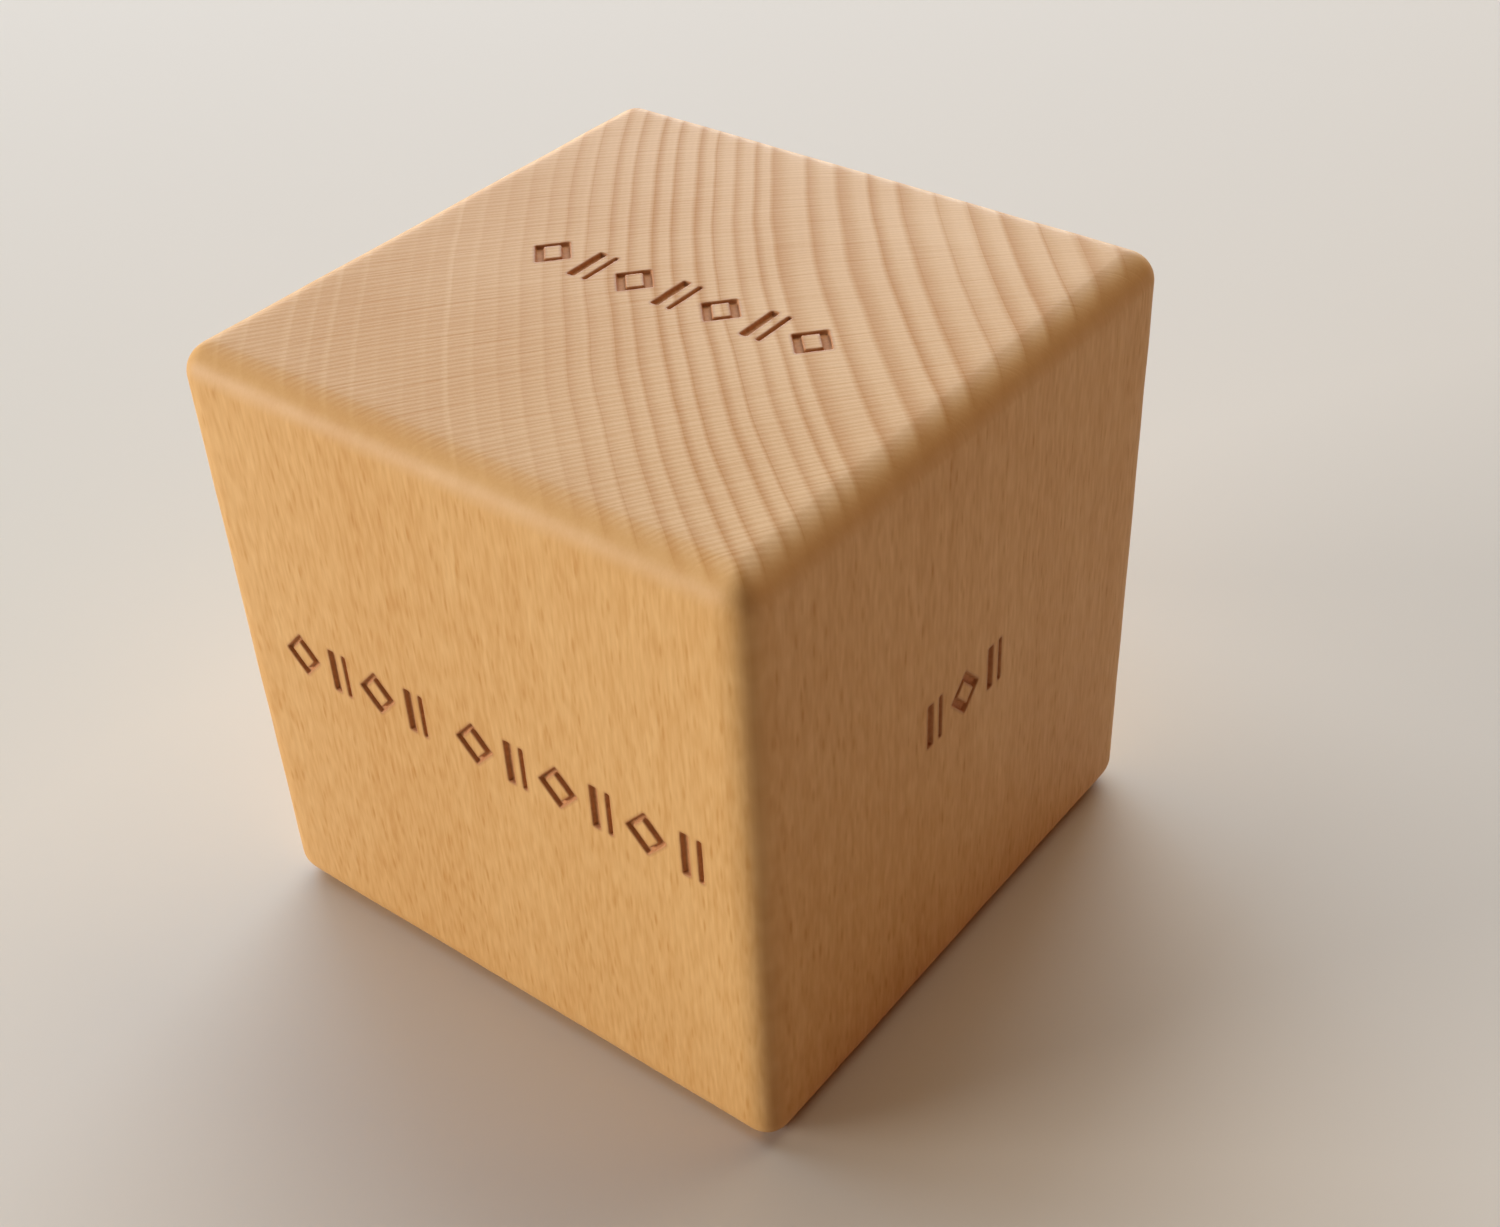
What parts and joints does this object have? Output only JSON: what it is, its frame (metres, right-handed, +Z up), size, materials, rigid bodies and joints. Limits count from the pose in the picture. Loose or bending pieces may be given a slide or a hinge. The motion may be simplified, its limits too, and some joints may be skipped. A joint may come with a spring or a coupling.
{
  "type": "wooden cube",
  "caption": "Small solid beech cube, sanded smooth, with rounded edges and rows of plain marks burnt lightly into its faces.",
  "frame": {"origin": "middle of the bottom face, on the surface that the cube stands on", "axes": "+Z up along the grain, -Y out of the front face with the longest row of marks, +X out of the right face with the shortest row"},
  "size_m": [0.0494, 0.0492, 0.05],
  "materials": {
    "beech": "sanded smooth and lightly oiled, satin"
  },
  "bodies": {
    "root": {"cube_block": "beech"}
  },
  "joints": []
}
